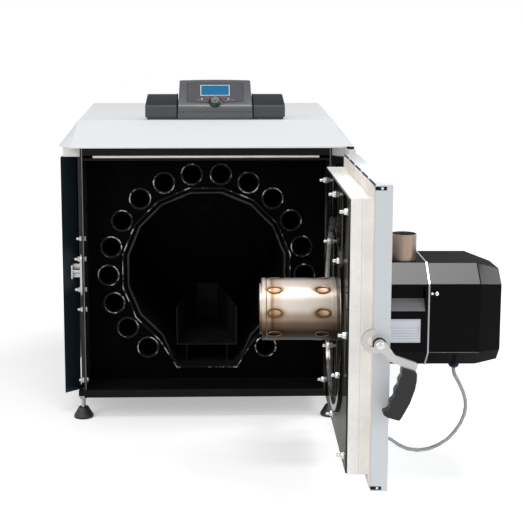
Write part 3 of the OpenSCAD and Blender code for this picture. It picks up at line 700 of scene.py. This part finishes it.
def panel_outline(half, low, sag, high, arch):
    """A panel's outline: straight sides, a bottom edge that sags and a top edge that arches."""
    steps = 12
    bottom = [(half * (2 * k / steps - 1), low - sag * math.sin(math.pi * k / steps))
              for k in range(steps + 1)]
    top = [(half * (1 - 2 * k / steps), high + arch * math.sin(math.pi * k / steps))
           for k in range(steps + 1)]
    return bottom + top


def panel_layer(name, outline, proud, material, slot="controller_plastic"):
    shape = Shape(panel_place())
    shape.prism(outline, lambda u, v, w: Vector((u, w - proud, v)), proud + SUNK)
    return shape.make(name, "boiler", material, slot)


def controller_panel():
    """The set-in face of the controller, with a black outline round it as painted shade in its
    groove, pale frame and display.
    """
    low, high = slope(50.5), slope(98)
    half, sag, groove = 77 * MM, 4.5 * MM, 1 * MM
    panel_layer("panel_groove_shade",
                panel_outline(half + groove, low - groove, sag, high + groove, 1 * MM),
                0.25 * MM, "shade_black")
    panel_layer("panel_face", panel_outline(half, low, sag, high, 1 * MM), 0.5 * MM, "panel_grey")
    middle = slope(79)
    for name, half_w, half_h, proud, material in (
            ("display_frame", 40.6 * MM, 18.4 * MM, 0.8 * MM, "print_pale"),
            ("display", 38.4 * MM, 16.4 * MM, 1.0 * MM, "lcd")):
        piece = panel_layer(name, [(-half_w, middle - half_h), (half_w, middle - half_h),
                                   (half_w, middle + half_h), (-half_w, middle + half_h)],
                            proud, material, "screen")
    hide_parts("controller_screen")


def panel_marks():
    """Red pointed arcs on each side of the knob, and a plain pale mark in each."""
    red, pale = Shape(panel_place()), Shape(panel_place())
    wide, count = 0.5 * MM, 10
    arcs = (((17, 62), 2.6), ((24, 50.5), -0.8))       # start (across, up) and swell, in mm
    for side in (-1, 1):
        tip = Vector((51 * MM, slope(52.5)))
        for start, swell in arcs:
            a = Vector((start[0] * MM, slope(start[1])))
            line = [a.lerp(tip, k / count) + Vector((0, swell * MM * math.sin(math.pi * k / count)))
                    for k in range(count + 1)]
            outline = [(side * p.x, p.y - wide) for p in line]
            outline += [(side * p.x, p.y + wide) for p in reversed(line)]
            red.prism(outline, lambda u, v, w: Vector((u, w - 0.8 * MM, v)), 0.5 * MM)
        ring = [(side * 21.5 * MM * math.sin(t), 21.5 * MM * math.cos(t))
                for t in [0.55 + 0.1 * k for k in range(8)]]
        ring += [(u * 0.955, v * 0.955) for u, v in reversed(ring)]
        red.prism(ring, lambda u, v, w: Vector((u, w - 0.8 * MM, v)), 0.5 * MM)
        u, v = side * 36.4 * MM, slope(55.8)
        pale.box((u - 2.2 * MM, -0.9 * MM, v - 1.6 * MM), (u + 2.2 * MM, 0, v + 1.6 * MM))
    red.make("panel_arcs", "boiler", "print_red", "controller_plastic")
    pale.make("panel_marks", "boiler", "print_pale", "controller_plastic")


def knob_cap():
    """The knob: a black skirted body with a dished grey cap and a finger hollow."""
    body = Shape(panel_place())
    body.lathe(mm([(-1, 0), (-1, 17), (-1, 18.5), (-2.6, 18.5), (-4, 17), (-8.6, 15),
                   (-9.8, 13.2), (-9.6, 12), (-9, 11.4), (-9, 0)]), (0, 0, 0), Y, 64)
    piece = body.make("knob_body", "knob", "knob_black", "knob_plastic", smooth=40)
    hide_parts("control_knob")
    cap = Shape(panel_place())
    cap.lathe(mm([(8.5, 0), (8.5, 11.8), (10.2, 11.8), (10.6, 11.2), (9.9, 7), (9.6, 3),
                  (9.5, 0)]), (0, 0, 0), -Y, 48)
    cap.make("knob_cap", "knob", "knob_cap", "knob_plastic", smooth=50)
    hollow = Shape(panel_place())
    hollow.lathe(mm([(9.3, 0), (9.3, 3.6), (10.2, 3.4), (9.9, 1.5), (9.8, 0)]),
                 (0, 0, -5.5 * MM), -Y, 24)
    hollow.make("knob_hollow", "knob", "knob_black", "knob_plastic", smooth=50)


# (y, z) in millimetres from the lowest front corner of a wing
WING_PROFILE = [(5, 0), (5, 6), (0, 7), (0, 33), (1.5, 37.5), (5, 41), (50, 68), (76, 68),
                (108, 36), (112, 0)]
WING_START = 103.4 * MM


def wing_gap_shade():
    """Black strips in the gaps between the controller's middle part and its two wings: painted
    shade in the gaps.
    """
    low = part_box("controller_wings")[0]
    shape = Shape()
    proud, middle = 0.4, 60
    outline = [((y - proud if y < middle else y + proud) * MM, (z + proud) * MM)
               for y, z in WING_PROFILE]
    for side in (-1, 1):
        shape.prism(outline, lambda u, v, w, side=side: Vector(
            (PANEL_X + side * (WING_START + w), low.y + u, low.z + v)), 3.2 * MM)
    shape.make("wing_gap_shade", "boiler", "shade_black", "controller_plastic")


# ---------- burner and door ----------


COLLAR_OUT = 2 * MM  # how far the flame tube's collar stands out from the tube


def tube_band(name, centre, radius, profile, material):
    """A band round a tube of the door, from (distance along, distance out) in millimetres."""
    shape = Shape(DOOR)
    shape.lathe([(along * MM, radius + out * MM) for along, out in profile + profile[:1]],
                centre, X, 96)
    shape.make(name, "door", material, "flame_steel", smooth=40)


def flame_lip():
    """The rolled band at the flame tube's mouth, with the seam behind it."""
    centre, radius = round_node("flame_tube")
    radius -= COLLAR_OUT
    tube_band("flame_lip", centre, radius, [(-0.2, -3.2), (-0.6, -1), (0.8, 0.9), (8.2, 0.9),
                                            (9.4, -0.4), (9.4, -3.2)], "flame")
    tube_band("flame_seam", centre, radius, [(9.2, -1), (9.2, 0.25), (10.6, 0.25), (10.6, -1)],
              "dimple")


def dimple_rims():
    """The raised, heat-coloured rim round each dimple in the flame tube."""
    centre, radius = round_node("flame_tube")
    radius -= COLLAR_OUT
    steps = 30
    shape = Shape(DOOR)
    for along in DIMPLES_ALONG:
        for k in range(round(math.tau / DIMPLE_PITCH)):
            turn = DIMPLE_START + DIMPLE_PITCH * k
            points, outs = [], []
            for n in range(steps):
                t = math.tau * n / steps
                angle = turn + DIMPLE_SHORT * math.sin(t)
                out = Vector((0, math.cos(angle), math.sin(angle)))
                points.append(centre + X * (along + DIMPLE_LONG * math.cos(t))
                              + out * (radius - 0.5 * MM))
                outs.append((X * math.cos(t) + Vector((0, -math.sin(turn), math.cos(turn)))
                             * math.sin(t)).normalized())
            shape.bead(points, outs, [1.7 * MM] * steps, sides=6, facing=-out)
    shape.make("dimple_rims", "door", "dimple", "flame_steel", smooth=60)


def burner_screw():
    """The ball-headed screw that holds the hood, and the slot beside it."""
    low = local_box("burner_hood")[0]
    shape = Shape(DOOR)
    at = Vector((low.x + 15 * MM, low.y, BURNER_BOTTOM + 174 * MM))
    domed(shape, at, -Y, 5.4 * MM, 4.2 * MM, 1.4 * MM)
    shape.make("burner_screw", "door", "bright", "trim_metal", smooth=60)
    slot = Shape(DOOR)
    domed(slot, at - X * 10 * MM, -Y, 3 * MM, 1 * MM)
    slot.make("burner_slot", "door", "ring", "trim_metal", smooth=60)


def rating_plate():
    """A blank pale plate on the burner, with a thin border and plain ruled rows."""
    low, high = local_box("burner_housing")
    side = low.y
    x0, x1, z0, z1 = high.x - 98 * MM, high.x - 16 * MM, 0.358, 0.412
    plate, lines = Shape(DOOR), Shape(DOOR)
    plate.box((x0, side - 0.5 * MM, z0), (x1, side + 0.2 * MM, z1))
    plate.make("rating_plate", "door", "plate", "grey_panel", bevel=0.2 * MM)
    thin, inset, front = 0.25 * MM, 3 * MM, side - 0.6 * MM
    rows = [z1 - inset, z1 - 20 * MM] + [z1 - (27 + 6 * k) * MM for k in range(5)]
    for z in rows:
        lines.box((x0 + inset, front, z - thin), (x1 - inset, side, z + thin))
    for x in (x0 + inset, x1 - inset):
        lines.box((x - thin, front, rows[-1]), (x + thin, side, rows[0]))
    lines.make("plate_lines", "door", "plate_line", "grey_panel")


def groove_highlight_sheet():
    """The pale sheet on the lower slope of the burner's side grooves: a painted highlight in place
    of the lamp's reflection on the black slope.
    """
    low, high = local_box("burner_housing")
    middle, half = (low.y + high.y) / 2, (high.y - low.y) / 2
    deep, rise, thick, foot = -18 * MM, 25 * MM, 1.2 * MM, 0.4302
    outline = [(0, foot), (deep, foot + rise), (deep, foot + rise + thick), (0, foot + thick)]
    shape = Shape(DOOR)
    for side in (-1, 1):
        shape.prism(outline, lambda u, v, w, side=side: Vector(
            (low.x + w, middle + side * (half + u), v)), high.x - low.x - 6.2 * MM)
    shape.make("groove_highlight_sheet", "door", "shelf_highlight_grey", "burner_shell")


def hood_crease_highlight():
    """A thin pale rod along the lower crease of the hood, on both sides: a painted highlight line
    on the crease.
    """
    low, high = local_box("burner_hood")
    crease, chamfer, radius = BURNER_BOTTOM + 38 * MM, 57 * MM, 0.7 * MM
    length = high.x - low.x - chamfer
    shape = Shape(DOOR)
    for y in (low.y + 0.3 * MM, high.y - 0.3 * MM):
        shape.lathe([(0, 0), (0, radius), (length, radius), (length, 0)], (low.x, y, crease), X, 12)
    shape.make("hood_crease_highlight", "door", "edge_highlight_grey", "burner_shell")


DOOR_HEIGHT = 0.654


def door_relief_shade():
    """Black blocks in the corner reliefs and along the top slots of the door box, as painted shade
    in these hollows, and a screw head in each relief.
    """
    low = local_box("door_box")[0]
    top = low.z + DOOR_HEIGHT
    proud = 0.3 * MM
    dark, heads = Shape(DOOR), Shape(DOOR)
    for z0, z1 in ((low.z + 3 * MM, low.z + 11 * MM), (top - 11 * MM, top - 3 * MM)):
        dark.box((low.x + 0.5 * MM, low.y + 1 * MM, z0 - proud),
                 (low.x + 23.3 * MM, low.y + 16.3 * MM, z1 + proud))
        domed(heads, (low.x + 14 * MM, low.y + 1.1 * MM, (z0 + z1) / 2), -Y, 3 * MM, 0.9 * MM)
    for k in range(5):
        start = low.y + (8 + 138 * k) * MM
        dark.box((low.x - proud, start, top - 3 * MM),
                 (low.x + 2 * MM, start + 105 * MM, top + proud))
    dark.make("door_relief_shade", "door", "shade_black", "grey_panel")
    heads.make("relief_screws", "door", "bright", "grey_panel", smooth=40)


def door_seal():
    """The pale seal round the plug, on the inner face of the door box."""
    box_low = local_box("door_box")[0]
    low, high = local_box("insulation_back")
    x1, x0 = box_low.x + 0.2 * MM, box_low.x - 3.2 * MM
    top = box_low.z + DOOR_HEIGHT - 5 * MM
    near, far = box_low.y + 4 * MM, high.y + 14 * MM
    shape = Shape(DOOR)
    shape.box((x0, near, high.z - 1 * MM), (x1, far, top))
    shape.box((x0, near, box_low.z + 5 * MM), (x1, far, low.z + 1 * MM))
    shape.box((x0, near, low.z + 1 * MM), (x1, low.y + 1 * MM, high.z - 1 * MM))
    shape.box((x0, high.y - 1 * MM, low.z + 1 * MM), (x1, far, high.z - 1 * MM))
    shape.make("door_seal", "door", "seal", "insulation", bevel=1 * MM)


STUDS_OUTER, STUDS_INNER = (0.280, 0.265), (0.128, 0.132)   # across and up from the middle
SHIELD_MIDDLE_Z = 0.415


def shield_nuts():
    """Studs that clamp the heat shield: washer, nut and the stud's rounded end."""
    low, high = local_box("heat_shield")
    middle = Vector((low.x, (low.y + high.y) / 2, SHIELD_MIDDLE_Z))
    places = [(a * STUDS_OUTER[0], b * STUDS_OUTER[1]) for a in (-1, 0, 1) for b in (-1, 0, 1)
              if a or b]
    places += [(a * STUDS_INNER[0], b * STUDS_INNER[1]) for a in (-1, 1) for b in (-1, 1)]
    shape = Shape(DOOR)
    for a, b in places:
        at = middle + Vector((0, a, b))
        washer(shape, at, -X, 9 * MM, 1.6 * MM)
        hexagon(shape, at - X * 1.4 * MM, -X, 13 * MM, 6.8 * MM)
        domed(shape, at - X * 8 * MM, -X, 4 * MM, 2 * MM, 7.5 * MM)
    piece = shape.make("shield_nuts", "door", "bright", "zinc_steel", bevel=0.4 * MM)
    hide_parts("shield_studs")


def ring_rim():
    """The glossy black outer rim of the shield's bright ring."""
    low, high = local_box("shield_ring")
    centre, radius = round_node("shield_ring")
    proud, thick = 0.3 * MM, high.x - low.x
    inner, outer = radius - 3 * MM, radius + proud
    shape = Shape(DOOR)
    shape.lathe([(-proud, inner), (-proud, outer), (thick, outer), (thick, inner),
                 (-proud, inner)], centre, X, 96)
    shape.make("ring_rim", "door", "shield", "shield_steel", smooth=40)


def header_rope():
    """The round sealing rope under the header."""
    low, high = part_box("header_seal")
    radius = min(high.z - low.z, high.y - low.y) / 2
    shape = Shape()
    shape.lathe([(0, 0), (0, radius * 0.8), (1.5 * MM, radius), (high.x - low.x - 1.5 * MM, radius),
                 (high.x - low.x, radius * 0.8), (high.x - low.x, 0)],
                (low.x, low.y + radius, (low.z + high.z) / 2), X, 24)
    piece = shape.make("header_rope", "boiler", "seal", "insulation", smooth=60)
    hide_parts("header_seal")


def jamb_shadow_lines():
    """The folded edge on the front of each jamb: a pale strip as a painted highlight on the edge,
    and a black strip beside it as a painted shadow line.
    """
    edges, lines = Shape(), Shape()
    width = 2.2 * MM
    for node, side in (("left_jamb", -1), ("right_jamb", 1)):
        low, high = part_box(node)
        inner = high.x if side < 0 else low.x
        for shape, start in ((edges, 0), (lines, width)):
            x0, x1 = sorted((inner + side * start, inner + side * (start + width)))
            shape.box((x0, low.y - 0.1 * MM, low.z + 2 * MM), (x1, low.y + 1 * MM, high.z - 2 * MM))
    edges.make("jamb_edge_highlights", "boiler", "edge_highlight_grey", "black_steel")
    lines.make("jamb_shadow_lines", "boiler", "shade_black", "black_steel")


def gland_nuts():
    """Hexagon nuts and collars on the two cable glands."""
    nuts = Shape(DOOR)
    top = Vector((0.584, BURNER_Y, BURNER_BOTTOM))
    side = Vector((0.400, BURNER_Y, CABLE_LOW_Z))
    for at, axis in ((top, -Z), (side, X)):
        hexagon(nuts, at, axis, 20.8 * MM, 4 * MM)
        nuts.lathe(mm([(3, 0), (3, 11.9), (7, 11.6), (10, 9.2), (11.9, 6), (11.9, 0)]),
                   at, axis, 32)
    piece = nuts.make("gland_nuts", "door", "gland_navy", "gland_plastic", bevel=0.3 * MM)
    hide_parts("cable_glands")


# ---------- latch ----------


def latch_bolt():
    """The latch's bolt: spacer and black washer behind the lever, domed hexagon head in front."""
    at = DOOR.inverted() @ Vector(JOINTS["latch_turn"]["pos_m"])
    low, high = local_box("latch_lever")
    wall = local_box("latch_pivot")[1].y
    x, z, back, front = at.x, at.z, high.y, low.y
    dark = Shape(DOOR)
    dark.lathe(mm([(0.5, 0), (0.5, 14.4), (2.5, 14.4), (2.5, 0)]), (x, back, z), Y, 48)
    dark.make("latch_washer", "door", "grip", "zinc_steel", bevel=0.3 * MM)
    bright = Shape(DOOR)
    bright.lathe([(2.5 * MM, 0), (2.5 * MM, 10 * MM), (wall - back, 10 * MM), (wall - back, 0)],
                 (x, back, z), Y, 48)
    bright.lathe([(-1 * MM, 0), (-1 * MM, 8 * MM), (back - front + 0.6 * MM, 8 * MM),
                  (back - front + 0.6 * MM, 0)], (x, back, z), -Y, 32)
    hexagon(bright, (x, front - 0.6 * MM, z), -Y, 17 * MM, 5.2 * MM)
    domed(bright, (x, front - 5.6 * MM, z), -Y, 7.6 * MM, 1.6 * MM)
    piece = bright.make("latch_bolt", "door", "bright", "zinc_steel", bevel=0.5 * MM, smooth=40)
    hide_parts("latch_pivot")


for build in (tube_welds, chamber_weld, jamb_bolts, hinge_pin_caps, foot_threads, controller_panel,
              panel_marks, knob_cap, wing_gap_shade, flame_lip, dimple_rims, burner_screw, rating_plate,
              groove_highlight_sheet, hood_crease_highlight, door_relief_shade, door_seal, shield_nuts, ring_rim, header_rope,
              jamb_shadow_lines, gland_nuts, latch_bolt):
    build()

# ---------- floor, light and background ----------


def area_light(name, at, look_at, size, power, spread=180):
    """A rectangular lamp: size in metres, power in watts, spread of its beam in degrees."""
    data = bpy.data.lights.new(name, "AREA")
    data.spread = math.radians(spread)
    data.shape = "RECTANGLE"
    data.size, data.size_y = size
    data.energy = power
    lamp = add_object(name, data)
    lamp.location = at
    lamp.rotation_euler = (Vector(look_at) - Vector(at)).to_track_quat("-Z", "Y").to_euler()


def joined(tree, operation, a, b):
    """The result of a math node fed by two outputs."""
    made = tree.nodes.new("ShaderNodeMath")
    made.operation = operation
    tree.links.new(a, made.inputs[0])
    tree.links.new(b, made.inputs[1])
    return made.outputs[0]


def seen_white(tree):
    """1 for rays from the camera, and for reflected or refracted ones; 0 for the rest."""
    path = tree.nodes.new("ShaderNodeLightPath")
    total = path.outputs["Is Camera Ray"]
    for name in ("Is Glossy Ray", "Is Transmission Ray"):
        total = joined(tree, "MAXIMUM", total, path.outputs[name])
    return total


WORLD_LIGHT, WORLD_SEEN = 0.44, 1.0


def make_world():
    """A white surround, weaker as a source of light than it looks."""
    world = bpy.data.worlds.new("studio")
    bpy.context.scene.world = world
    world.use_nodes = True
    tree = world.node_tree
    background = tree.nodes["Background"]
    background.inputs["Color"].default_value = (1, 1, 1, 1)
    level = tree.nodes.new("ShaderNodeMapRange")
    level.inputs["To Min"].default_value = WORLD_LIGHT
    level.inputs["To Max"].default_value = WORLD_SEEN
    tree.links.new(seen_white(tree), level.inputs["Value"])
    tree.links.new(level.outputs["Result"], background.inputs["Strength"])


GLOW = {"From Min": 0.9, "From Max": 1.7, "To Min": 0.42, "To Max": 0.66}


def far_glow(tree):
    """The floor's own glow: little near the boiler, so that its shadow shows, more farther out."""
    where = tree.nodes.new("ShaderNodeNewGeometry")
    reach = tree.nodes.new("ShaderNodeVectorMath")
    reach.operation = "LENGTH"
    tree.links.new(where.outputs["Position"], reach.inputs[0])
    level = tree.nodes.new("ShaderNodeMapRange")
    for name, value in GLOW.items():
        level.inputs[name].default_value = value
    tree.links.new(reach.outputs["Value"], level.inputs["Value"])
    return level.outputs["Result"]


def make_floor():
    """A wide pale floor. Its glow shows, also in reflections, but lights nothing else."""
    data = bpy.data.meshes.new("floor")
    r = 12
    data.from_pydata([(-r, -r, 0), (r, -r, 0), (r, r, 0), (-r, r, 0)], [], [(0, 1, 2, 3)])
    floor = add_object("floor", data)
    material = bpy.data.materials.new("floor_white")
    material.use_nodes = True
    tree = material.node_tree
    shader = tree.nodes["Principled BSDF"]
    shader.inputs["Base Color"].default_value = (0.9, 0.9, 0.9, 1)
    shader.inputs["Roughness"].default_value = 0.95
    shader.inputs["Specular IOR Level"].default_value = 0.0
    glow = tree.nodes.new("ShaderNodeEmission")
    both = tree.nodes.new("ShaderNodeAddShader")
    tree.links.new(shader.outputs[0], both.inputs[0])
    tree.links.new(glow.outputs[0], both.inputs[1])
    tree.links.new(both.outputs[0], tree.nodes["Material Output"].inputs["Surface"])
    strength = joined(tree, "MULTIPLY", seen_white(tree), far_glow(tree))
    tree.links.new(strength, glow.inputs["Strength"])
    data.materials.append(material)


make_world()
make_floor()
area_light("key_left", (-2.6, -2.9, 2.3), (0.0, 0.1, 0.45), (2.2, 2.2), 60)
area_light("fill_right", (3.0, -2.4, 1.7), (0.2, -0.2, 0.4), (2.0, 2.0), 24)
area_light("top_front", (0.05, -1.3, 3.05), (0.05, 0.1, 0.86), (1.2, 0.3), 17)
area_light("overhead", (0.68, -0.51, 1.35), (0.67, -0.51, 0.5), (0.14, 0.46), 1.75, 60)
area_light("rim_right", (2.7, 0.5, 1.7), (0.7, -0.5, 0.45), (0.6, 0.45), 19)
bpy.context.scene.view_settings.view_transform = "Standard"

# ---------- CAD nodes: finish and rounded edges ----------

FINISHES = {
    "header_steel": ["frame_header"],
    "jamb": ["left_jamb", "right_jamb"],
    "black_steel": ["frame_sill", "base_frame", "smoke_box", "water_jacket", "rear_tube_sheet",
                    "hinge_brackets", "flue_collar"],
    "soot": ["tube_sheet"],
    "chamber_soot": ["chamber_shell", "ash_pan"],
    "tube_steel": ["fire_tubes"],
    "seal": ["header_seal"],
    "navy": ["left_side_panel", "right_side_panel"],
    "cover_white": ["top_cover"],
    "door_white": ["door_box"],
    "rear_grey": ["rear_panel"],
    "board": ["top_insulation", "insulation_front"],
    "board_back": ["insulation_back"],
    "shield": ["heat_shield"],
    "ring": ["shield_ring"],
    "zinc": ["foot_rods", "latch_keeper", "shield_studs", "latch_lever"],
    "bright": ["latch_pivot"],
    "trim": ["hood_trim"],
    "socket_steel": ["water_sockets"],
    "pellet_steel": ["pellet_pipe"],
    "shell": ["burner_housing"],
    "hood": ["burner_hood"],
    "flame": ["flame_tube", "flame_nozzle"],
    "plastic": ["controller_housing"],
    "wing": ["controller_wings"],
    "lcd": ["controller_screen"],
    "knob_black": ["control_knob"],
    "grip": ["lever_grip"],
    "rubber": ["foot_pads"],
    "gland_navy": ["cable_glands"],
    "sheath": ["burner_cable"],
}
# edge radius of each rounded CAD node, in millimetres
ROUNDED = {
    "top_cover": 1.2, "door_box": 1.6, "controller_housing": 2.0, "controller_wings": 3.0,
    "burner_hood": 1.6, "burner_housing": 1.2, "hood_trim": 0.8, "latch_lever": 1.2,
    "lever_grip": 6.0, "insulation_front": 1.5, "insulation_back": 1.5, "heat_shield": 0.8,
    "left_side_panel": 0.8, "right_side_panel": 0.8, "frame_header": 1.0, "frame_sill": 1.0,
    "latch_keeper": 0.8, "latch_pivot": 1.5, "control_knob": 2.0, "ash_pan": 0.8,
    "hinge_brackets": 1.0, "shield_studs": 0.6, "top_insulation": 1.5, "rear_panel": 0.8,
}


def finish_nodes():
    """Gives each CAD node its material and, where it is in ROUNDED, its rounded edges."""
    for material, names in FINISHES.items():
        for name in names:
            node = NODES[name]
            for held in node.material_slots:
                held.material = MATERIALS[material]
            custom = node.data.attributes.get("custom_normal")
            if custom:
                node.data.attributes.remove(custom)
            if name in ROUNDED:
                weld = node.modifiers.new("weld", "WELD")
                weld.merge_threshold = 0.00002
                flat = node.modifiers.new("flat", "DECIMATE")
                flat.decimate_type = "DISSOLVE"
                flat.angle_limit = math.radians(0.5)
            finish_mesh(node, ROUNDED.get(name, 0) * MM, 3, 30)


finish_nodes()
